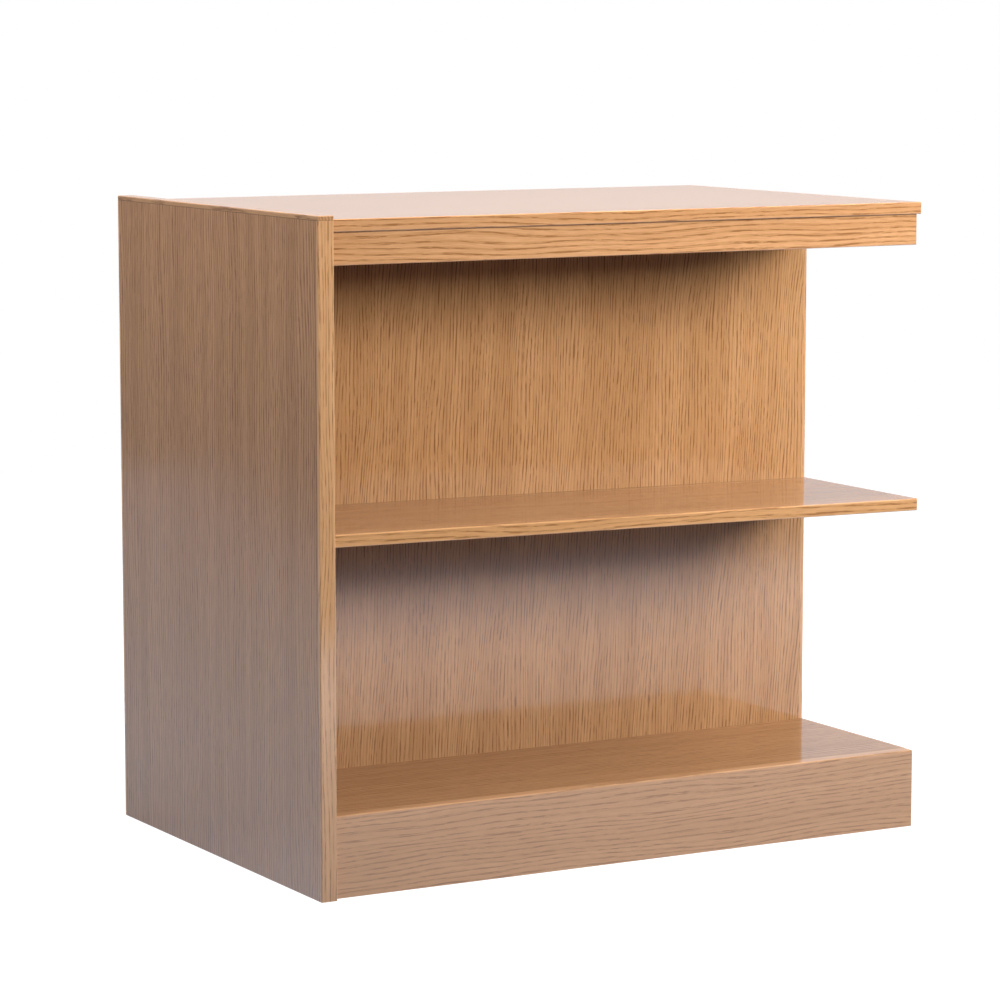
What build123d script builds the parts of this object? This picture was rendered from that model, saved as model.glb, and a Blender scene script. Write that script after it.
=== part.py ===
from build123d import *
import os
from math import atan, cos, degrees, tan

# Double-faced low library shelving unit: one end panel at -X, open end at +X.
# Millimetres, +Z up.  The origin is on the floor under the middle of the overall box.
# The front half (toward -Y) and the rear half (toward +Y) are mirror images.

# ---------- overall sizes ----------
unit_height = 850.0            # end panel, floor to top edge
unit_depth = 600.0             # end panel, front edge to rear edge
module_width = 900.0           # outer face of the end panel to the open end of base and partition
top_projection = 5.0           # how far the top runs past the open end

# ---------- boards and solid oak ----------
end_panel_thickness = 22.0
board_thickness = 16.0         # top, shelves and bottom shelves
rail_board_thickness = 18.0    # aprons and kick boards
lipping = 6.0                  # solid oak edge strips
arris = 1.5                    # radius of the eased edges
kick_arris = 2.0

# ---------- heights ----------
top_reveal = 5.5               # end panel stands this much above the top
apron_height = 41.0
base_height = 104.5            # top of the bottom shelves
shelf_open_end_top = 448.0     # top face of the adjustable shelf at the open end
shelf_rise = 9.5               # the shelf lies this much higher at the end panel

# ---------- set-backs from the front edge of the end panel ----------
top_setback = 14.0
apron_setback = 17.0
shelf_setback = 6.0
kick_setback = 10.0

# ---------- partition ----------
partition_thickness = 46.0
partition_skin = 9.0           # veneered facing panels
stile_width = 45.0
middle_rail_above_bracket = 10.0

# ---------- hidden timber ----------
cleat_thickness = 20.0
cleat_height = 36.0
glue_block_side = 30.0
glue_block_height = 70.0

# ---------- shelf supports ----------
pin_hole_radius = 2.5
pin_hole_depth = 11.0
pin_shank = 10.0               # length of pin inside the panel
pin_reach = 9.0                # length of pin under the shelf
pin_collar = 1.0               # thinner than the gap at the shelf's end
pin_collar_radius = 4.0
pin_pitch = 32.0
pin_holes_each_way = 6         # holes above and below the one in use
pin_row_inset = 45.0           # rows stand this far inside the shelf's front and back edges
pin_clear = 0.3                # room between a shelf and what carries it
shelf_end_gap = 1.5
shelf_back_gap = 1.0
shelf_open_inset = 0.5         # the shelf stops this much short of the open end
bracket_inset = 60.0           # arm of the bracket, from the open end
bracket_length = 200.0
bracket_back_height = 36.0
bracket_tip_height = 9.0
bracket_steel = 2.5
bracket_flange = 22.0
bracket_corner = 5.0
bracket_hole_clear = 0.3

# ---------- fastenings ----------
screw_radius = 2.0
stile_screw_radius = 2.5
screw_point_radius = 0.3
cleat_screw_length = 34.0
cleat_screw_y = (-220.0, -70.0)
stile_screw_length = 60.0
stile_screw_z = (160.0, 340.0, 520.0, 700.0)
top_screw_length = 46.0
top_screw_y = (-195.0, -95.0)
bracket_screw_length = 20.0
bracket_screw_drop = (8.0, 24.0)   # below the underside of the bracket's flange
dowel_radius = 4.0
dowel_length = 30.0
dowel_chamfer = 0.8
kick_dowel_z = (22.0, 68.0)
joining_hole_radius = 3.5
joining_hole_y = 150.0         # joining holes, from the unit's middle plane
joining_hole_base_z = 50.0

# ---------- places worked out from the sizes above ----------
overall_width = module_width + top_projection
outer_x = -overall_width / 2
inner_x = outer_x + end_panel_thickness
open_x = outer_x + module_width
top_end_x = open_x + top_projection
front_y = -unit_depth / 2
top_z = unit_height - top_reveal
top_under_z = top_z - board_thickness
apron_under_z = top_under_z - apron_height
base_under_z = base_height - board_thickness
top_front_y = front_y + top_setback
apron_front_y = front_y + apron_setback
apron_back_y = apron_front_y + rail_board_thickness
kick_front_y = front_y + kick_setback
kick_back_y = kick_front_y + rail_board_thickness
partition_front_y = -partition_thickness / 2
core_half = partition_thickness / 2 - partition_skin
core_end_x = open_x - lipping
shelf_front_y = front_y + shelf_setback
shelf_back_y = partition_front_y - shelf_back_gap
shelf_left_x = inner_x + shelf_end_gap
shelf_right_x = open_x - shelf_open_inset
shelf_slope = atan(shelf_rise / (shelf_right_x - shelf_left_x))
shelf_end_panel_under_z = shelf_open_end_top + shelf_rise - board_thickness
pin_z = shelf_end_panel_under_z - pin_clear - pin_hole_radius
pin_rows_y = (shelf_front_y + pin_row_inset, shelf_back_y - pin_row_inset)
bracket_x = open_x - bracket_inset
joining_hole_top_z = top_under_z - cleat_height / 2
cleat_middles = (inner_x + cleat_thickness / 2, open_x - cleat_thickness / 2)
base_rail_middles = (cleat_middles[0], (inner_x + open_x) / 2, cleat_middles[1])
bracket_top_z = shelf_end_panel_under_z - (bracket_x - shelf_left_x) * tan(shelf_slope) - pin_clear


# ---------- small helpers ----------
def block(x0, x1, y0, y1, z0, z1):
    """A square-edged block between two corners."""
    middle = ((x0 + x1) / 2, (y0 + y1) / 2, (z0 + z1) / 2)
    return Pos(*middle) * Box(x1 - x0, y1 - y0, z1 - z0)


def rod(start, direction, length, radius):
    """A round rod from a point along a direction."""
    plane = Plane(origin=start, z_dir=direction)
    return plane * Cylinder(radius, length, align=(Align.CENTER, Align.CENTER, Align.MIN))


def cone(start, direction, length, radius_start, radius_end):
    """A cone frustum from a point along a direction."""
    plane = Plane(origin=start, z_dir=direction)
    return plane * Cone(radius_start, radius_end, length, align=(Align.CENTER, Align.CENTER, Align.MIN))


def edges_on(solid, **place):
    """Edges whose middle has the given x, y or z, within a hundredth of a millimetre."""
    found = []
    for edge in solid.edges():
        middle = edge.position_at(0.5)
        values = {"x": middle.X, "y": middle.Y, "z": middle.Z}
        if all(abs(values[axis] - value) < 0.01 for axis, value in place.items()):
            found.append(edge)
    return found


def rear(solid):
    """The rear twin of a front piece."""
    return mirror(solid, about=Plane.XZ)


def countersunk_screw(head, direction, length, radius):
    """A wood screw: countersunk head, shank and pointed end, with the head's face at the first point."""
    head_depth = radius
    tip = 2 * radius
    start = Vector(*head)
    along = Vector(*direction)
    screw = cone(start, along, head_depth, 2 * radius, radius)
    screw += rod(start + along * head_depth, along, length - head_depth - tip, radius)
    screw += cone(start + along * (length - tip), along, tip, radius, screw_point_radius)
    screw -= rod(start, along, 0.8 * radius, 0.8 * radius)
    return screw


def screw_hole(head, direction, length, radius):
    """The room that a countersunk screw takes, to cut from the timber."""
    start = Vector(*head)
    along = Vector(*direction)
    tip = 2 * radius
    hole = cone(start, along, radius, 2 * radius, radius)
    hole += rod(start + along * radius, along, length - radius - tip, radius)
    hole += cone(start + along * (length - tip), along, tip, radius, screw_point_radius)
    return hole


# ---------- where the fastenings go ----------
def cleat_screw_heads():
    """Heads of the screws that run through the end-panel cleats and cross rails, front half."""
    heads = []
    for y in cleat_screw_y:
        heads.append((inner_x + cleat_thickness, y, top_under_z - cleat_height / 2))
        heads.append((inner_x + cleat_thickness, y, base_under_z / 2))
    return heads


def stile_screw_heads():
    """Heads of the screws that run through the partition's stile into the end panel."""
    return [(inner_x + stile_width, 0.0, z) for z in stile_screw_z]


def top_screw_heads():
    """Heads of the screws that run up through the cleats into the top, front half."""
    return [(x, y, top_under_z - cleat_height) for x in cleat_middles for y in top_screw_y]


def bracket_screw_places():
    """Heads of the screws that hold the front shelf bracket to the partition."""
    face_y = partition_front_y - bracket_steel
    under = bracket_top_z - bracket_steel
    return [(bracket_x - bracket_flange / 2, face_y, under - drop) for drop in bracket_screw_drop]


def apron_dowel_starts():
    """Dowels between the front apron and the ends of the two front cleats."""
    start_y = apron_back_y - dowel_length / 3
    return [(x, start_y, top_under_z - cleat_height / 2) for x in cleat_middles]


def kick_dowel_starts():
    """Dowels between the front kick board and the ends of the front cross rails."""
    start_y = kick_back_y - dowel_length / 3
    return [(x, start_y, z) for x in base_rail_middles for z in kick_dowel_z]


def cut_all(solid, tools):
    """The solid with each tool cut from it."""
    for tool in tools:
        solid -= tool
    return solid


# ---------- end panel ----------
def end_panel_blank():
    """The whole end panel with its edges eased, before it is divided into board and lippings."""
    blank = block(outer_x, inner_x, front_y, -front_y, 0, unit_height)
    eased = edges_on(blank, y=front_y, x=outer_x) + edges_on(blank, y=front_y, x=inner_x)
    eased += edges_on(blank, y=-front_y, x=outer_x) + edges_on(blank, y=-front_y, x=inner_x)
    eased += edges_on(blank, z=unit_height)
    return fillet(eased, arris)


def end_panel_board():
    """Veneered board with the rows of shelf-pin holes and the screw holes on its inner face."""
    board = end_panel_blank() & block(outer_x, inner_x, front_y + lipping, -front_y - lipping,
                                      0, unit_height - lipping)
    for y in pin_rows_y:
        for step in range(-pin_holes_each_way, pin_holes_each_way + 1):
            hole = rod((inner_x, y, pin_z + step * pin_pitch), (-1, 0, 0), pin_hole_depth, pin_hole_radius)
            board = cut_all(board, [hole, rear(hole)])
    for head in cleat_screw_heads():
        hole = screw_hole(head, (-1, 0, 0), cleat_screw_length, screw_radius)
        board = cut_all(board, [hole, rear(hole)])
    for head in stile_screw_heads():
        board -= screw_hole(head, (-1, 0, 0), stile_screw_length, stile_screw_radius)
    return board


def end_panel_front_lipping():
    """Oak strip down the front edge."""
    return end_panel_blank() & block(outer_x, inner_x, front_y, front_y + lipping, 0, unit_height - lipping)


def end_panel_top_lipping():
    """Oak strip along the top edge, over the ends of the two upright strips."""
    return end_panel_blank() & block(outer_x, inner_x, front_y, -front_y, unit_height - lipping, unit_height)


# ---------- top ----------
def top_blank():
    """The whole top with its free edges eased, before it is divided into board and lippings."""
    blank = block(inner_x, top_end_x, top_front_y, -top_front_y, top_under_z, top_z)
    eased = edges_on(blank, x=top_end_x)
    eased += edges_on(blank, y=top_front_y, z=top_z) + edges_on(blank, y=top_front_y, z=top_under_z)
    eased += edges_on(blank, y=-top_front_y, z=top_z) + edges_on(blank, y=-top_front_y, z=top_under_z)
    return fillet(eased, arris)


def top_board():
    """Veneered board of the top."""
    board = top_blank() & block(inner_x, top_end_x - lipping, top_front_y + lipping, -top_front_y - lipping,
                                top_under_z, top_z)
    for head in top_screw_heads():
        hole = screw_hole(head, (0, 0, 1), top_screw_length, screw_radius)
        board = cut_all(board, [hole, rear(hole)])
    return board


def top_front_lipping():
    """Oak strip along the front edge of the top."""
    return top_blank() & block(inner_x, top_end_x, top_front_y, top_front_y + lipping, top_under_z, top_z)


def top_end_lipping():
    """Oak strip across the open end of the top, between the long strips."""
    return top_blank() & block(top_end_x - lipping, top_end_x, top_front_y + lipping, -top_front_y - lipping,
                               top_under_z, top_z)


def apron():
    """Rail under the front edge of the top."""
    rail = block(inner_x, open_x, apron_front_y, apron_back_y, apron_under_z, top_under_z)
    eased = edges_on(rail, y=apron_front_y, z=apron_under_z) + edges_on(rail, y=apron_back_y, z=apron_under_z)
    eased += edges_on(rail, y=apron_front_y, x=open_x)
    rail = fillet(eased, arris)
    holes = [rod(start, (0, 1, 0), dowel_length, dowel_radius) for start in apron_dowel_starts()]
    return cut_all(rail, holes)


def top_cleat(x0, x1):
    """Cleat from the apron to the partition that the top is screwed to."""
    cleat = block(x0, x1, apron_back_y, partition_front_y, top_under_z - cleat_height, top_under_z)
    holes = [rod(start, (0, 1, 0), dowel_length, dowel_radius) for start in apron_dowel_starts()]
    holes += [screw_hole(head, (0, 0, 1), top_screw_length, screw_radius) for head in top_screw_heads()]
    return cut_all(cleat, holes)


def end_panel_top_cleat():
    """Cleat under the top, screwed to the end panel."""
    holes = [screw_hole(head, (-1, 0, 0), cleat_screw_length, screw_radius) for head in cleat_screw_heads()]
    return cut_all(top_cleat(inner_x, inner_x + cleat_thickness), holes)


def open_end_top_cleat():
    """Cleat under the top at the open end, with the hole for the bolt to the next unit."""
    centre = (open_x, -joining_hole_y, joining_hole_top_z)
    hole = rod(centre, (-1, 0, 0), cleat_thickness, joining_hole_radius)
    return top_cleat(open_x - cleat_thickness, open_x) - hole


# ---------- partition ----------
def partition_panel():
    """Veneered facing panel on the front of the partition."""
    panel = block(inner_x, core_end_x, partition_front_y, -core_half, 0, top_under_z)
    holes = [screw_hole(head, (0, 1, 0), bracket_screw_length, screw_radius)
             for head in bracket_screw_places()]
    return cut_all(panel, holes)


def partition_end_lipping():
    """Oak strip that closes the open end of the partition."""
    strip = block(core_end_x, open_x, partition_front_y, -partition_front_y, 0, top_under_z)
    eased = edges_on(strip, x=open_x, y=partition_front_y) + edges_on(strip, x=open_x, y=-partition_front_y)
    return fillet(eased, arris)


def partition_end_panel_stile():
    """Upright of the partition's frame that is screwed to the end panel."""
    stile = block(inner_x, inner_x + stile_width, -core_half, core_half, 0, top_under_z)
    holes = [screw_hole(head, (-1, 0, 0), stile_screw_length, stile_screw_radius)
             for head in stile_screw_heads()]
    return cut_all(stile, holes)


def partition_open_end_stile():
    """Upright of the partition's frame behind the open-end lipping."""
    return block(core_end_x - stile_width, core_end_x, -core_half, core_half, 0, top_under_z)


def partition_rail(z0, z1):
    """A rail between the two stiles."""
    return block(inner_x + stile_width, core_end_x - stile_width, -core_half, core_half, z0, z1)


def partition_middle_rail():
    """Rail that takes the screws of the shelf brackets."""
    upper = bracket_top_z + middle_rail_above_bracket
    rail = partition_rail(upper - 2 * stile_width, upper)
    for head in bracket_screw_places():
        hole = screw_hole(head, (0, 1, 0), bracket_screw_length, screw_radius)
        rail = cut_all(rail, [hole, rear(hole)])
    return rail


# ---------- base ----------
def kick_board():
    """Board that closes the front of the plinth; its top edge is flush with the bottom shelf."""
    board = block(inner_x, open_x, kick_front_y, kick_back_y, 0, base_height)
    board = fillet(edges_on(board, y=kick_front_y, z=base_height), kick_arris)
    board = fillet(edges_on(board, y=kick_front_y, x=open_x), arris)
    holes = [rod(start, (0, 1, 0), dowel_length, dowel_radius) for start in kick_dowel_starts()]
    return cut_all(board, holes)


def bottom_shelf():
    """Fixed shelf between the kick board and the partition."""
    return block(inner_x, open_x, kick_back_y, partition_front_y, base_under_z, base_height)


def base_rail(middle_x):
    """Cross rail from the kick board to the partition."""
    rail = block(middle_x - cleat_thickness / 2, middle_x + cleat_thickness / 2,
                 kick_back_y, partition_front_y, 0, base_under_z)
    holes = [rod(start, (0, 1, 0), dowel_length, dowel_radius) for start in kick_dowel_starts()]
    return cut_all(rail, holes)


def end_panel_base_rail():
    """Cross rail of the plinth that is screwed to the end panel."""
    holes = [screw_hole(head, (-1, 0, 0), cleat_screw_length, screw_radius) for head in cleat_screw_heads()]
    return cut_all(base_rail(base_rail_middles[0]), holes)


def open_end_base_rail():
    """Cross rail at the open end, with the hole for the bolt to the next unit."""
    centre = (open_x, -joining_hole_y, joining_hole_base_z)
    hole = rod(centre, (-1, 0, 0), cleat_thickness, joining_hole_radius)
    return base_rail(base_rail_middles[2]) - hole


def glue_blocks():
    """Three-cornered blocks in the angles between the kick board and the cross rails."""
    left, middle, right = base_rail_middles
    half = cleat_thickness / 2
    corners = ((left + half, 1), (middle - half, -1), (middle + half, 1), (right - half, -1))
    blocks = []
    for x, away in corners:
        outline = Polyline((x, kick_back_y), (x + away * glue_block_side, kick_back_y),
                           (x, kick_back_y + glue_block_side), close=True)
        block_top = (glue_block_height + base_under_z) / 2
        shape = extrude(Pos(0, 0, block_top - glue_block_height) * make_face(outline), glue_block_height,
                        dir=(0, 0, 1))
        blocks.append(shape)
    return blocks


# ---------- adjustable shelf ----------
def shelf_blank():
    """The whole shelf with its front edge eased, laid on its slope."""
    length = (shelf_right_x - shelf_left_x) / cos(shelf_slope)
    blank = block(-length, 0, shelf_front_y, shelf_back_y, -board_thickness, 0)
    eased = edges_on(blank, y=shelf_front_y, z=0) + edges_on(blank, y=shelf_front_y, z=-board_thickness)
    eased += edges_on(blank, y=shelf_front_y, x=0)
    return fillet(eased, arris)


def on_slope(solid):
    """Put a piece of the shelf where it lies, tipped toward the open end."""
    return Pos(shelf_right_x, 0, shelf_open_end_top) * Rot(0, degrees(shelf_slope), 0) * solid


def shelf_board():
    """Veneered board of the adjustable shelf."""
    behind = block(-module_width, 0, shelf_front_y + lipping, shelf_back_y, -board_thickness, 0)
    return on_slope(shelf_blank() & behind)


def shelf_lipping():
    """Oak strip along the front edge of the adjustable shelf."""
    strip = block(-module_width, 0, shelf_front_y, shelf_front_y + lipping, -board_thickness, 0)
    return on_slope(shelf_blank() & strip)


def shelf_pins():
    """Steel pins in the end panel that carry the shelf: shank, collar and rest."""
    pins = []
    for y in pin_rows_y:
        pin = rod((inner_x - pin_shank, y, pin_z), (1, 0, 0), pin_shank + pin_reach, pin_hole_radius)
        pin += rod((inner_x, y, pin_z), (1, 0, 0), pin_collar, pin_collar_radius)
        pins.append(pin)
    return pins


def shelf_bracket():
    """Bent steel bracket: a leg on the partition, an arm that tapers, and a flange under the shelf."""
    top = bracket_top_z
    back = partition_front_y
    tip = back - bracket_length
    left = bracket_x - bracket_flange
    arm_outline = Polyline((back, top), (tip, top), (tip, top - bracket_tip_height),
                           (back, top - bracket_back_height), close=True)
    arm_plane = Plane(origin=(bracket_x - bracket_steel, 0, 0), x_dir=(0, 1, 0), z_dir=(1, 0, 0))
    arm = extrude(arm_plane * make_face(arm_outline), bracket_steel, dir=(1, 0, 0))
    flange = block(left, bracket_x, tip, back, top - bracket_steel, top)
    flange = fillet(edges_on(flange, x=left, y=tip), bracket_corner)
    leg = block(left, bracket_x, back - bracket_steel, back, top - bracket_back_height, top)
    leg = fillet(edges_on(leg, x=left, z=top - bracket_back_height), bracket_corner)
    bracket = arm + flange + leg
    hole_radius = screw_radius + bracket_hole_clear
    holes = [rod(head, (0, 1, 0), bracket_steel, hole_radius) for head in bracket_screw_places()]
    return cut_all(bracket, holes)


def pan_head_screw(head, direction, length, radius):
    """A pan-head screw whose head sits on the face at the first point."""
    start = Vector(*head)
    along = Vector(*direction)
    screw = rod(start - along * radius, along, radius, 2 * radius)
    screw += rod(start, along, length - 2 * radius, radius)
    screw += cone(start + along * (length - 2 * radius), along, 2 * radius, radius, screw_point_radius)
    screw -= rod(start - along * radius, along, 0.6 * radius, 0.8 * radius)
    return screw


# ---------- groups of like fastenings ----------
def both_sides(pieces):
    """The front pieces with their rear twins."""
    return pieces + [rear(piece) for piece in pieces]


def cleat_screws():
    """Screws through cleats and cross rails into the end panel."""
    return both_sides([countersunk_screw(head, (-1, 0, 0), cleat_screw_length, screw_radius)
                       for head in cleat_screw_heads()])


def stile_screws():
    """Screws through the partition's stile into the end panel."""
    return [countersunk_screw(head, (-1, 0, 0), stile_screw_length, stile_screw_radius)
            for head in stile_screw_heads()]


def top_screws():
    """Screws up through the cleats into the top."""
    return both_sides([countersunk_screw(head, (0, 0, 1), top_screw_length, screw_radius)
                       for head in top_screw_heads()])


def bracket_screws():
    """Screws through the brackets into the partition."""
    return both_sides([pan_head_screw(head, (0, 1, 0), bracket_screw_length, screw_radius)
                       for head in bracket_screw_places()])


def dowels(starts):
    """Beech dowels from each start, and their rear twins."""
    pins = []
    for start in starts:
        pin = rod(start, (0, 1, 0), dowel_length, dowel_radius)
        pins.append(chamfer(pin.edges().filter_by(GeomType.CIRCLE), 0.8))
    return both_sides(pins)


# ---------- write every node ----------
front_pieces = {
    "end_panel_front_lipping": end_panel_front_lipping,
    "top_front_lipping": top_front_lipping,
    "front_apron": apron,
    "front_end_panel_top_cleat": end_panel_top_cleat,
    "front_open_end_top_cleat": open_end_top_cleat,
    "partition_front_panel": partition_panel,
    "front_kick_board": kick_board,
    "front_bottom_shelf": bottom_shelf,
    "front_end_panel_base_rail": end_panel_base_rail,
    "front_middle_base_rail": lambda: base_rail(base_rail_middles[1]),
    "front_open_end_base_rail": open_end_base_rail,
    "front_glue_blocks": glue_blocks,
    "front_shelf_board": shelf_board,
    "front_shelf_lipping": shelf_lipping,
    "front_shelf_pins": shelf_pins,
    "front_shelf_bracket": shelf_bracket,
}

single_pieces = {
    "end_panel_board": end_panel_board,
    "end_panel_top_lipping": end_panel_top_lipping,
    "top_board": top_board,
    "top_end_lipping": top_end_lipping,
    "partition_end_lipping": partition_end_lipping,
    "partition_end_panel_stile": partition_end_panel_stile,
    "partition_open_end_stile": partition_open_end_stile,
    "partition_top_rail": lambda: partition_rail(top_under_z - stile_width, top_under_z),
    "partition_middle_rail": partition_middle_rail,
    "partition_bottom_rail": lambda: partition_rail(0, stile_width),
    "cleat_screws": cleat_screws,
    "stile_screws": stile_screws,
    "top_screws": top_screws,
    "bracket_screws": bracket_screws,
    "apron_dowels": lambda: dowels(apron_dowel_starts()),
    "kick_board_dowels": lambda: dowels(kick_dowel_starts()),
}


def write(node, made):
    """Write one node; a group of like pieces is written as separate solids."""
    pieces = made if isinstance(made, list) else [made]
    solids = [solid for piece in pieces for solid in piece.solids()]
    export_step(solids[0] if len(solids) == 1 else Compound(solids), f"parts/{node}.step")


os.makedirs("parts", exist_ok=True)
for node, make in single_pieces.items():
    write(node, make())
for node, make in front_pieces.items():
    front_made = make()
    pieces = front_made if isinstance(front_made, list) else [front_made]
    write(node, pieces)
    write(node.replace("front", "rear"), [rear(piece) for piece in pieces])
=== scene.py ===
from math import pi, radians

import bpy
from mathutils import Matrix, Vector


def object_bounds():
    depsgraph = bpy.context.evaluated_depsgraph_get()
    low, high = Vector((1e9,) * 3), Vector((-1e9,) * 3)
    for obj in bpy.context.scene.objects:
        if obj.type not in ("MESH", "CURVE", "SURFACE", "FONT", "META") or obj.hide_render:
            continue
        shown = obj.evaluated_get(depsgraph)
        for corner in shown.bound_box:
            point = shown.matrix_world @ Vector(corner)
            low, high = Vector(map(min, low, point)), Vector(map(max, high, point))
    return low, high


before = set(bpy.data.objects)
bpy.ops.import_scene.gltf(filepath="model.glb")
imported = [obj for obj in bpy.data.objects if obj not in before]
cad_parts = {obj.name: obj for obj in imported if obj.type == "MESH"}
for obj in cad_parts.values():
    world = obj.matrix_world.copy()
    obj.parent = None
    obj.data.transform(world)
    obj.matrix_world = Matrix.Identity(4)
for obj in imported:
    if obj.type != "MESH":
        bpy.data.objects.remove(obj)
cad_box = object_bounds()
scene = bpy.context.scene
mm = 0.001

# ---------------------------------------------------------------------------------------------
# End panel: a 22 mm particle board upright, faced on both sides with rift-cut oak veneer, its
# grain upright, and sprayed with clear satin lacquer. Its bottom edge is bare board, and the two
# rows of shelf pin holes at each side of the partition are drilled through the inner veneer.


def linear(hex_colour):
    """An sRGB hex colour as the linear red, green, blue and alpha that a socket takes."""
    channels = [int(hex_colour[i:i + 2], 16) / 255 for i in (1, 3, 5)]
    return [c / 12.92 if c <= 0.04045 else ((c + 0.055) / 1.055) ** 2.4 for c in channels] + [1.0]


def add(tree, kind, settings=None, **inputs):
    """Adds a node with its own settings. An input is a value, or a socket to link from; i0, i1
    and so on stand for the inputs by number."""
    node = tree.nodes.new(kind)
    for name, value in (settings or {}).items():
        setattr(node, name, value)
    for name, value in inputs.items():
        numbered = name[0] == "i" and name[1:].isdigit()
        socket = node.inputs[int(name[1:]) if numbered else name.replace("_", " ")]
        if isinstance(value, bpy.types.NodeSocket):
            tree.links.new(value, socket)
        else:
            socket.default_value = value
    return node


def new_surface(name):
    """An empty material with a Principled shader, and its node tree."""
    material = bpy.data.materials.new(name)
    material.use_nodes = True
    tree = material.node_tree
    tree.nodes.clear()
    shader = add(tree, "ShaderNodeBsdfPrincipled")
    add(tree, "ShaderNodeOutputMaterial", Surface=shader.outputs[0])
    return material, tree, shader


def streaks(tree, place, size, detail=2.0, roughness=0.5):
    """Fibres, chips or clouds of the given size along each axis, in millimetres."""
    cells = add(tree, "ShaderNodeMapping", Vector=place, Scale=[1 / (side * mm) for side in size])
    noise = add(tree, "ShaderNodeTexNoise", Vector=cells.outputs[0], Scale=1.0, Detail=detail,
                Roughness=roughness)
    return noise.outputs[0]


smooth = {"interpolation_type": "SMOOTHSTEP"}
blend = {"data_type": "RGBA"}


def layered(tree, colour, *layers):
    """Lays further colours over the first. A layer is a pattern, its value where the layer starts,
    its value where the layer is full, the full share, and the layer's colour."""
    for pattern, start, full, share, over in layers:
        amount = add(tree, "ShaderNodeMapRange", smooth, Value=pattern, From_Min=start, From_Max=full,
                     To_Max=share)
        colour = add(tree, "ShaderNodeMix", blend, i0=amount.outputs[0], i6=colour, i7=over).outputs[2]
    return colour


def particle_core(tree, place):
    """Bare particle board edge: pale and dark chips 1 to 4 mm long, with fine dust between."""
    chips = add(tree, "ShaderNodeTexVoronoi", {"feature": "F1"}, Vector=place, Scale=1 / (2.38 * mm),
                Randomness=1.0)
    shade = add(tree, "ShaderNodeSeparateColor", Color=chips.outputs["Color"]).outputs[0]
    body = add(tree, "ShaderNodeMix", blend, i0=shade, i6=linear("#9C7A52"), i7=linear("#D8BC92"))
    dust = streaks(tree, place, (0.6, 0.6, 0.6))
    return layered(tree, body.outputs[2], (dust, 0.55, 0.75, 0.6, linear("#7C5D3A")))


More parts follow.
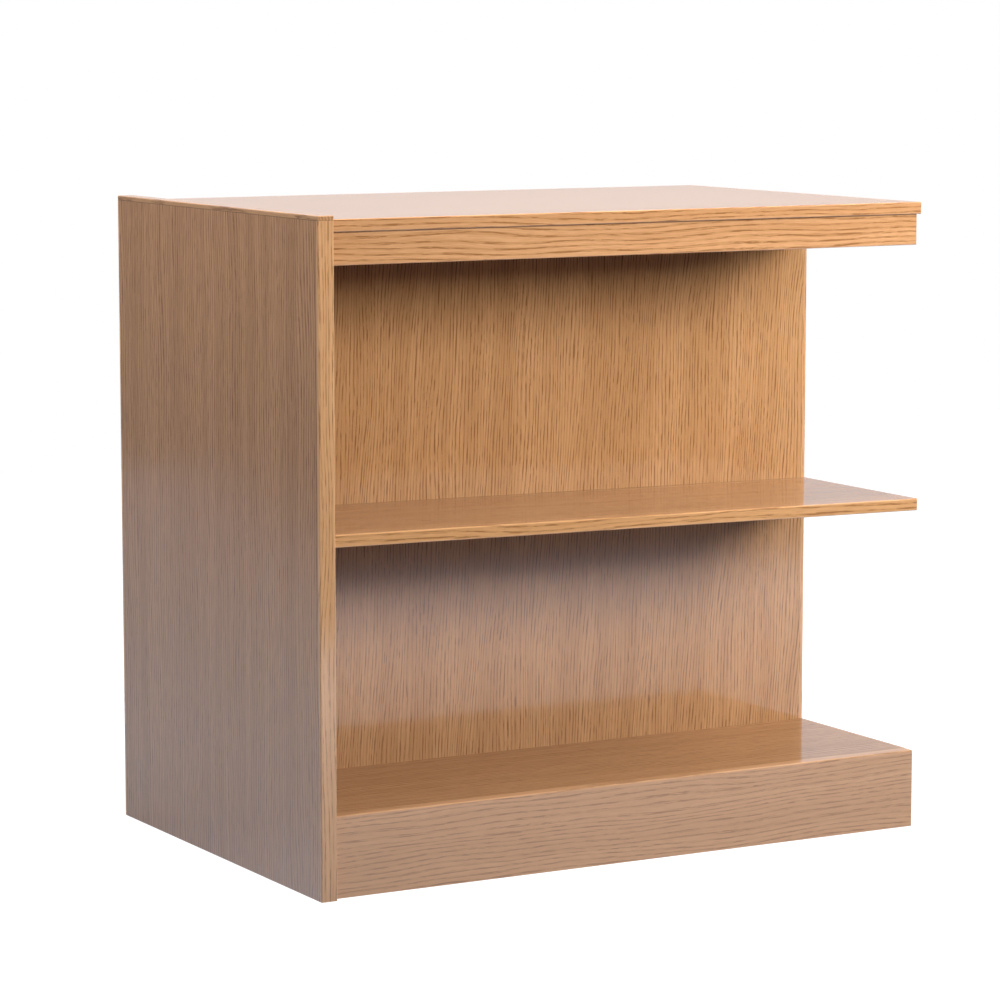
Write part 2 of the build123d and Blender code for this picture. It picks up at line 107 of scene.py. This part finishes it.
def lacquered_oak(name, grain, across, faces=None, light="#C49367", dark="#A7764A", pore="#764823",
                  ring=7.0, strength=1.0, gloss=0.12, shift=0.0, joints=(), peel=0.0, lean=0.0):
    """Oak under clear lacquer. The grain runs along one axis and the rings, so many millimetres
    apart, follow each other along another. A faced board has veneer on the two faces that look
    along the axis in faces, and bare particle board at its other sides. Each joint is an axis, a
    distance from the middle of the unit or the floor, and a half width, in millimetres. Peel is
    the height of the ripple that the lacquer dries with, in millimetres. Lean turns the grain
    about Y, in degrees, as on a leaf laid askew."""
    material, tree, shader = new_surface(name)
    spot = add(tree, "ShaderNodeTexCoord").outputs
    place = add(tree, "ShaderNodeMapping", Vector=spot["Object"],
                Location=(shift, 1.7 * shift, 2.3 * shift), Rotation=(0.0, radians(lean), 0.0)).outputs[0]
    lengthways = "XYZ".index(grain)

    def cells(wide, long):
        """Sizes across and along the grain, in millimetres, put on the three axes."""
        return [long if axis == lengthways else wide for axis in range(3)]

    # The fibres wander some millimetres either way over a hand's length.
    drift = add(tree, "ShaderNodeMapping", Vector=place, Scale=[1 / (side * mm) for side in cells(70, 300)])
    drift = add(tree, "ShaderNodeTexNoise", Vector=drift.outputs[0], Scale=1.0, Detail=1.0).outputs[1]
    drift = add(tree, "ShaderNodeVectorMath", {"operation": "SUBTRACT"}, i0=drift, i1=(0.5, 0.5, 0.5))
    drift = add(tree, "ShaderNodeVectorMath", {"operation": "MULTIPLY"}, i0=drift.outputs[0],
                i1=[side * mm for side in cells(26, 0)])
    place = add(tree, "ShaderNodeVectorMath", {"operation": "ADD"}, i0=place, i1=drift.outputs[0])
    place = place.outputs[0]

    # Growth rings cross the face every few millimetres, unevenly spaced; one wave is a ring.
    squeezed = add(tree, "ShaderNodeMapping", Vector=place, Scale=[1 / side for side in cells(1, 30)])
    rings = add(tree, "ShaderNodeTexWave", {"bands_direction": across}, Vector=squeezed.outputs[0],
                Scale=2 * pi / (20 * ring * mm), Distortion=8.0, Detail=3.0, Detail_Scale=0.7).outputs[1]
    # Bands 24 mm wide run the length of the leaf, and ray flecks 4.5 mm wide lie across it. Pores are
    # really about 0.3 mm wide and fibres are finer still: both are drawn over 1 mm wide so that they
    # show. Each pattern comes with the two values between which its marks grow from nothing to full.
    patterns = ((rings, 0.45, 0.95),
                (streaks(tree, place, cells(24, 900)), 0.34, 0.66),
                (streaks(tree, place, cells(1.25, 38), roughness=0.6), 0.46, 0.60),
                (streaks(tree, place, cells(1.3, 22)), 0.32, 0.68),
                (streaks(tree, place, cells(4.5, 1.8), detail=1.0), 0.56, 0.72))
    early_wood, flitch, pores, fibres, rays = [
        add(tree, "ShaderNodeMapRange", smooth, Value=pattern, From_Min=low, From_Max=high).outputs[0]
        for pattern, low, high in patterns]
    # The pores are darkest in the early wood of each ring, and a quarter as strong in between.
    ranks = add(tree, "ShaderNodeMapRange", smooth, Value=early_wood, To_Min=0.25)
    lines = add(tree, "ShaderNodeMath", {"operation": "MULTIPLY"}, i0=pores, i1=ranks.outputs[0]).outputs[0]
    colour = layered(tree, linear(light),
                     (flitch, 0.0, 1.0, 0.36 * strength, linear(dark)),
                     (early_wood, 0.0, 1.0, 0.50 * strength, linear(dark)),
                     (fibres, 0.0, 1.0, 0.26 * strength, linear(dark)),
                     (rays, 0.0, 1.0, 0.20 * strength, linear(light)),
                     (lines, 0.0, 1.0, 0.66 * strength, linear(pore)))

    if faces:
        facing = add(tree, "ShaderNodeSeparateXYZ", Vector=spot["Normal"]).outputs["XYZ".index(faces)]
        facing = add(tree, "ShaderNodeMath", {"operation": "ABSOLUTE"}, i0=facing).outputs[0]
        colour = layered(tree, colour, (facing, 0.45, 0.35, 1.0, particle_core(tree, spot["Object"])))

    # A joint is a dark line of glue and dirt between two pieces. It is really some 0.2 mm wide, and is
    # drawn 1 to 3 mm wide so that it shows. The line on the rails where the top meets the apron is painted
    # shadow: it stands for the shade under the top's overhang.
    along_axes = add(tree, "ShaderNodeSeparateXYZ", Vector=spot["Object"]).outputs
    for axis, position, half_width in joints:
        distance = along_axes["XYZ".index(axis)]
        off_middle = add(tree, "ShaderNodeMath", {"operation": "ABSOLUTE"}, i0=distance)
        off_joint = add(tree, "ShaderNodeMath", {"operation": "SUBTRACT"}, i0=off_middle.outputs[0],
                        i1=position * mm)
        off_joint = add(tree, "ShaderNodeMath", {"operation": "ABSOLUTE"}, i0=off_joint.outputs[0])
        glue_and_shadow_line = (off_joint.outputs[0], half_width * mm, 0.3 * half_width * mm, 0.6, linear("#4B3626"))
        colour = layered(tree, colour, glue_and_shadow_line)

    # The pores sink into the wood a tenth of a millimetre, and the lacquer bridges them.
    relief = add(tree, "ShaderNodeMath", {"operation": "MULTIPLY"}, i0=lines, i1=-1.0)
    bump = add(tree, "ShaderNodeBump", Height=relief.outputs[0], Distance=0.12 * mm, Strength=0.5)
    # Lacquer dries with ripples about 2 mm across, drawn 5 mm across so that they show.
    if peel:
        ripple = streaks(tree, spot["Object"], (5, 5, 5))
        coat_bump = add(tree, "ShaderNodeBump", Height=ripple, Distance=peel * mm, Strength=1.0)
        tree.links.new(coat_bump.outputs[0], shader.inputs["Coat Normal"])
    tree.links.new(colour, shader.inputs["Base Color"])
    tree.links.new(bump.outputs[0], shader.inputs["Normal"])
    shader.inputs["Roughness"].default_value = 0.55
    shader.inputs["Specular IOR Level"].default_value = 0.15
    shader.inputs["Coat Weight"].default_value = 1.0
    shader.inputs["Coat Roughness"].default_value = gloss
    shader.inputs["Coat IOR"].default_value = 1.6
    return material


def finish(material, *nodes):
    """Gives each CAD node a finish in all its material slots."""
    for node in nodes:
        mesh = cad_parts[node].data
        mesh.materials.clear()
        mesh.materials.append(material)


half_length, half_depth, height = [side / mm for side in cad_box[1]]
lipping = 6.0
edge_joint = ("Y", half_depth - lipping, 0.8)
# Rift-cut veneer under satin lacquer gives the eye a calm brown face with close upright lines, and
# a cool sheen that grows towards the floor.
upright_veneer = lacquered_oak("satin lacquered oak veneer, upright", "Z", "Y", "X", "#C49368", "#A07047",
                               ring=6.0, strength=1.25, joints=(edge_joint, ("Z", height - lipping, 0.8)))
finish(upright_veneer, "end_panel_board")

# ---------------------------------------------------------------------------------------------
# Edges of the end panel: solid oak strips 6 mm thick, glued on, planed flush and arrised. The
# top strip runs through, so its ends show at the front and the rear.

# Solid oak is planed across its pores, so it gives the eye a brighter, more golden strip than the
# veneer beside it, with short dark dashes along its length.
upright_lipping = lacquered_oak("satin lacquered solid oak, upright", "Z", "X", None, "#E9B584", "#C99462",
                                pore="#8A5A30", ring=5.0, strength=0.9, shift=0.31, joints=(edge_joint,))
# The top strip was picked to go with the veneer, so to the eye it is the same brown as the face.
crossing_lipping = lacquered_oak("satin lacquered solid oak, front to rear", "Y", "X", None, "#CE9C6E",
                                 "#A8794D", ring=5.0, shift=0.53, joints=(("Z", height - lipping, 0.6),))
finish(upright_lipping, "end_panel_front_lipping", "end_panel_rear_lipping")
finish(crossing_lipping, "end_panel_top_lipping")

# ---------------------------------------------------------------------------------------------
# Partition: a softwood frame of two stiles and three rails, with a 9 mm veneered panel glued to
# each face and a solid oak strip over the stile at the open end.


def plain_wood(name, grain, light, dark, ring, roughness):
    """Planed unfinished wood with soft growth lines, so many millimetres apart. Its fibres are too
    fine to show, and are drawn 0.9 mm wide."""
    material, tree, shader = new_surface(name)
    place = add(tree, "ShaderNodeTexCoord").outputs["Object"]
    patterns = ((streaks(tree, place, [300 if axis == grain else ring for axis in "XYZ"]), 0.40, 0.62),
                (streaks(tree, place, [18 if axis == grain else 0.9 for axis in "XYZ"]), 0.30, 0.70))
    rings, fibres = [
        add(tree, "ShaderNodeMapRange", smooth, Value=pattern, From_Min=low, From_Max=high).outputs[0]
        for pattern, low, high in patterns]
    colour = layered(tree, linear(light), (rings, 0.0, 1.0, 0.7, linear(dark)),
                     (fibres, 0.0, 1.0, 0.25, linear(dark)))
    bump = add(tree, "ShaderNodeBump", Height=fibres, Distance=0.1 * mm, Strength=0.4)
    tree.links.new(colour, shader.inputs["Base Color"])
    tree.links.new(bump.outputs[0], shader.inputs["Normal"])
    shader.inputs["Roughness"].default_value = roughness
    shader.inputs["Specular IOR Level"].default_value = 0.3
    return material


# Planed softwood out of sight stays dry and unfinished: to the eye a pale straw colour, matt, with
# broad soft bands.
pine = {axis: plain_wood(f"planed softwood, grain along {axis}", axis, "#DAB78C", "#BF9162", 5.0, 0.7)
        for axis in "XYZ"}
# The partition's veneer is a lighter leaf with close rings, laid a little askew: to the eye honey
# coloured, with thin dark dashes in ranks where each ring's pores lie.
partition_veneer = lacquered_oak("satin lacquered oak veneer, partition", "Z", "X", "Y", "#D3A170",
                                 "#B27F4F", ring=4.7, strength=1.05, shift=0.77, lean=-3.0)
finish(partition_veneer, "partition_front_panel", "partition_rear_panel")
finish(upright_lipping, "partition_end_lipping")
finish(pine["Z"], "partition_end_panel_stile", "partition_open_end_stile")
finish(pine["X"], "partition_top_rail", "partition_middle_rail", "partition_bottom_rail")

# ---------------------------------------------------------------------------------------------
# Base, the same at the front and the rear: a solid oak kick board on beech dowels, softwood rails
# under a veneered bottom shelf, and softwood glue blocks in the corner behind the kick board.

kick_board_back = half_depth - 28.0
# Level boards are sprayed lying down, so the lacquer flows out: to the eye a smooth face that holds
# a clear, slightly soft image of what stands on it.
base_veneer = lacquered_oak("satin lacquered oak veneer, bottom shelves", "X", "Y", "Z", "#CB986A",
                            "#AE7C4E", gloss=0.08, shift=1.1, joints=(("Y", kick_board_back, 0.6),),
                            peel=0.03)
# The kick boards are plainer oak than the rails: to the eye pinker, with fainter dashes.
kick_oak = lacquered_oak("satin lacquered solid oak, kick boards", "X", "Z", None, "#E0AC80", "#C08D60",
                         pore="#85552F", strength=0.7, shift=2.9)
# Beech shows the eye a fine pinkish brown grain with hardly any pattern.
beech = plain_wood("beech dowel", "X", "#D9B184", "#C59663", 3.0, 0.6)
for side in ("front", "rear"):
    finish(kick_oak, f"{side}_kick_board")
    finish(base_veneer, f"{side}_bottom_shelf")
    finish(pine["Y"], f"{side}_end_panel_base_rail", f"{side}_middle_base_rail")
    finish(pine["Y"], f"{side}_open_end_base_rail")
    finish(pine["X"], f"{side}_glue_blocks")
finish(beech, "kick_board_dowels")

# ---------------------------------------------------------------------------------------------
# Top: a veneered board between the end panel and its own end strip, edged with solid oak and held
# down by screws through softwood cleats, with an oak apron doweled in under it at each side.

top_edge = half_depth - 14.0
top_underside = 828.5
# The top's veneer is cut like the bottom shelves' and finished the same, from another leaf: to the
# eye a pale mirror from low down and plain brown oak from above.
top_veneer = lacquered_oak("satin lacquered oak veneer, top", "X", "Y", "Z", gloss=0.08, shift=2.3,
                           joints=(("Y", top_edge - lipping, 0.6), ("X", half_length - lipping, 0.6)),
                           peel=0.03)
# Long solid oak rails show the eye golden faces with level dashes that swing slowly up and down, and a thin
# dark line of painted shadow where the top meets the apron, for the shade under the top's overhang.
rail_oak = lacquered_oak("satin lacquered solid oak, along the unit", "X", "Z", None, "#E0A978", "#BD8653",
                         pore="#85501F", strength=1.0, shift=1.7, joints=(("Z", top_underside, 1.5),))
# The strip on the top's open end is the same bright solid oak, with its grain from front to rear.
end_lipping = lacquered_oak("satin lacquered solid oak, end of top", "Y", "X", None, "#E2AC79", "#C18B58",
                            ring=5.0, shift=4.1)
finish(top_veneer, "top_board")
finish(rail_oak, "top_front_lipping", "top_rear_lipping", "front_apron", "rear_apron")
finish(end_lipping, "top_end_lipping")
finish(beech, "apron_dowels")
for side in ("front", "rear"):
    finish(pine["Y"], f"{side}_end_panel_top_cleat", f"{side}_open_end_top_cleat")

# ---------------------------------------------------------------------------------------------
# Shelves: veneered boards with a solid oak strip on the outer edge, each on two steel pins in the
# end panel and a folded steel bracket on the partition at the open end.


def coated_steel(name, hex_colour, roughness):
    """Powder coat on steel: fine orange peel about 2 mm across."""
    material, tree, shader = new_surface(name)
    place = add(tree, "ShaderNodeTexCoord").outputs["Object"]
    peel = streaks(tree, place, (2, 2, 2))
    colour = layered(tree, linear(hex_colour), (peel, 0.3, 0.7, 0.25, linear("#2A2725")))
    bump = add(tree, "ShaderNodeBump", Height=peel, Distance=0.05 * mm, Strength=0.5)
    tree.links.new(colour, shader.inputs["Base Color"])
    tree.links.new(bump.outputs[0], shader.inputs["Normal"])
    shader.inputs["Roughness"].default_value = roughness
    return material


def zinc_steel(name):
    """Zinc plated steel: a cool metal, clouded in patches about 3 mm across."""
    material, tree, shader = new_surface(name)
    place = add(tree, "ShaderNodeTexCoord").outputs["Object"]
    cloud = streaks(tree, place, (3, 3, 3))
    colour = layered(tree, linear("#C9CACB"), (cloud, 0.35, 0.65, 1.0, linear("#A7A9AB")))
    dullness = add(tree, "ShaderNodeMapRange", smooth, Value=cloud, From_Min=0.3, From_Max=0.7,
                   To_Min=0.28, To_Max=0.42)
    tree.links.new(colour, shader.inputs["Base Color"])
    tree.links.new(dullness.outputs[0], shader.inputs["Roughness"])
    shader.inputs["Metallic"].default_value = 1.0
    return material


# Zinc plating gives the eye a cool grey metal with cloudy soft highlights.
zinc = zinc_steel("zinc plated steel")
# Brown powder coat gives the eye a dull dark bracket that keeps out of sight under the shelf.
brown_coat = coated_steel("brown powder coated steel", "#5A4738", 0.45)
shelf_edge = half_depth - 6.0
# The shelves' veneer is one more leaf of the same oak, sprayed lying down: to the eye a smooth face
# with a soft mirror image of the partition in it.
shelf_veneer = lacquered_oak("satin lacquered oak veneer, shelves", "X", "Y", "Z", "#CE9B6C", "#B17E50",
                             gloss=0.08, shift=3.4, peel=0.03)
# Its edge strip is the palest oak of the unit, so to the eye the shelf's edge stands out from the bay.
shelf_oak = lacquered_oak("satin lacquered solid oak, shelf edges", "X", "Z", None, "#E7B07A", "#C78E57",
                          pore="#85501F", strength=0.95, shift=5.2,
                          joints=(("Y", shelf_edge - lipping, 0.6),))
for side in ("front", "rear"):
    finish(shelf_veneer, f"{side}_shelf_board")
    finish(shelf_oak, f"{side}_shelf_lipping")
    finish(zinc, f"{side}_shelf_pins")
    finish(brown_coat, f"{side}_shelf_bracket")

# ---------------------------------------------------------------------------------------------
# Screws: zinc plated countersunk wood screws in the cleats, the stiles, the top and the brackets.

finish(zinc, "cleat_screws", "stile_screws", "top_screws", "bracket_screws")

# ---------------------------------------------------------------------------------------------
# Studio: a sheet of white acrylic on the floor, faintly lit from below so that it has next to no
# shadow, inside a white surround. Soft boxes stand at the front right and the rear right, with
# weaker ones at the left and overhead. Beyond the sheet the room is dark.

scene.view_settings.view_transform = "Standard"
scene.view_settings.look = "None"
scene.cycles.diffuse_bounces = 1

# The sheet glows plain white to the eye, and the lacquer low on the unit mirrors a cool painted glow on it.
# That painted glow is seen only in the lacquer. It is painted brightest at its front, where the soft boxes
# stand, and fades to the rear and to the left.
white_acrylic, tree, shader = new_surface("white acrylic sheet")
shader.inputs["Base Color"].default_value = linear("#7A7B7C")
shader.inputs["Roughness"].default_value = 0.9
shader.inputs["Specular IOR Level"].default_value = 0.1
spot = add(tree, "ShaderNodeTexCoord").outputs["Object"]
across, depth, _ = add(tree, "ShaderNodeSeparateXYZ", Vector=spot).outputs
slant = add(tree, "ShaderNodeMath", {"operation": "MULTIPLY_ADD"}, i0=depth, i1=0.29, i2=across)
painted_rear_fade = add(tree, "ShaderNodeMapRange", smooth, Value=depth,
                From_Min=-0.5, From_Max=0.5, To_Min=1.10, To_Max=0.58)
painted_front_glow = add(tree, "ShaderNodeMapRange", smooth, Value=depth,
                 From_Min=-1.9, From_Max=-0.6, To_Min=1.4, To_Max=0.0)
painted_left_fade = add(tree, "ShaderNodeMapRange", smooth, Value=slant.outputs[0],
                From_Min=-1.40, From_Max=-0.88, To_Min=0.28, To_Max=1.0)
mirrored = add(tree, "ShaderNodeMath", {"operation": "ADD"}, i0=painted_rear_fade.outputs[0],
               i1=painted_front_glow.outputs[0])
mirrored = add(tree, "ShaderNodeMath", {"operation": "MULTIPLY"}, i0=mirrored.outputs[0],
               i1=painted_left_fade.outputs[0])
ray = add(tree, "ShaderNodeLightPath").outputs["Is Glossy Ray"]
glow = add(tree, "ShaderNodeMix", {"data_type": "FLOAT"}, i0=ray, i2=0.99, i3=mirrored.outputs[0])
glow_colour = add(tree, "ShaderNodeMix", blend, i0=ray, i6=linear("#FFFFFF"),
                  i7=linear("#ECEFFF"))
tree.links.new(glow.outputs[0], shader.inputs["Emission Strength"])
tree.links.new(glow_colour.outputs[2], shader.inputs["Emission Color"])
left, right, front, back = -4.0, 4.0, -2.03, 4.0
sheet_mesh = bpy.data.meshes.new("studio_floor")
sheet_mesh.from_pydata([(left, front, -0.5 * mm), (right, front, -0.5 * mm), (right, back, -0.5 * mm),
                        (left, back, -0.5 * mm)], [], [(0, 1, 2, 3)])
sheet_mesh.materials.append(white_acrylic)
floor = bpy.data.objects.new("studio_floor", sheet_mesh)
scene.collection.objects.link(floor)
# The sheet throws no light of its own on to the unit, so the bays keep their shade.
floor.visible_diffuse = False

# The lacquer mirrors the white surround above the horizon. Below it the room is dark, most of all
# in front of the unit.
world = bpy.data.worlds.new("white surround")
scene.world = world
world.use_nodes = True
sky = world.node_tree
sky.nodes.clear()
direction = add(sky, "ShaderNodeTexCoord").outputs["Generated"]
_, heading, height = add(sky, "ShaderNodeSeparateXYZ", Vector=direction).outputs
room = add(sky, "ShaderNodeMapRange", smooth, Value=heading,
           From_Min=-0.3, From_Max=0.3, To_Min=0.04, To_Max=0.26)
mirrored = add(sky, "ShaderNodeMapRange", smooth, Value=height,
               From_Min=-0.02, From_Max=0.02, To_Min=room.outputs[0], To_Max=0.71)
ray = add(sky, "ShaderNodeLightPath").outputs
seen = add(sky, "ShaderNodeMix", {"data_type": "FLOAT"}, i0=ray["Is Glossy Ray"], i2=0.03,
           i3=mirrored.outputs[0])
seen = add(sky, "ShaderNodeMix", {"data_type": "FLOAT"}, i0=ray["Is Camera Ray"], i2=seen.outputs[0],
           i3=1.0)
shade = add(sky, "ShaderNodeMix", blend, i0=ray["Is Glossy Ray"], i6=linear("#FFFFFF"),
            i7=linear("#FFFAFC"))
glow = add(sky, "ShaderNodeBackground", Color=shade.outputs[2], Strength=seen.outputs[0])
add(sky, "ShaderNodeOutputWorld", Surface=glow.outputs[0])


def soft_box(name, place, size, watts, aim=(0.0, 0.0, 0.45), spread=180):
    """A square soft box at a place, turned towards a point. A grid narrows its spread, in degrees.
    The white surround stands in for the boxes in the lacquer, so none is mirrored there."""
    light = bpy.data.lights.new(name, "AREA")
    light.shape = "SQUARE"
    light.size = size
    light.energy = watts
    light.spread = radians(spread)
    lamp = bpy.data.objects.new(name, light)
    lamp.location = place
    lamp.rotation_euler = (Vector(aim) - Vector(place)).to_track_quat("-Z", "Y").to_euler()
    lamp.visible_glossy = False
    scene.collection.objects.link(lamp)


soft_box("front_right_box", (2.0, -2.3, 1.45), 0.8, 12.7, aim=(0.3, 0.0, 0.95), spread=80)
soft_box("front_left_box", (-0.6, -2.2, 1.45), 0.8, 5.2, aim=(0.0, 0.0, 0.9), spread=90)
soft_box("high_right_box", (1.3, -0.9, 1.6), 0.8, 16.0)
soft_box("left_box", (-2.2, -0.9, 1.4), 1.3, 2.0, aim=(0.0, 0.0, 0.8), spread=100)
soft_box("rear_left_box", (-1.5, 0.2, 1.2), 0.8, 8.5)
soft_box("rear_right_box", (1.9, 2.2, 1.8), 0.8, 38.0)
soft_box("overhead_box", (0.0, 0.0, 3.05), 1.2, 99.0)

# ---------------------------------------------------------------------------------------------
# Camera: a long lens a little above the top of the unit, off its end-panel corner, so that the
# outer face of the end panel and the whole front show together.

camera_data = bpy.data.cameras.new("camera")
camera_data.lens = 136.5
camera_data.sensor_width = 36.0
camera_data.clip_end = 200.0
camera = bpy.data.objects.new("camera", camera_data)
scene.collection.objects.link(camera)
camera.location = (-2.5168, -4.4121, 1.0940)
camera.rotation_euler = (radians(90 - 7.323), 0.0, radians(-29.406))
scene.camera = camera
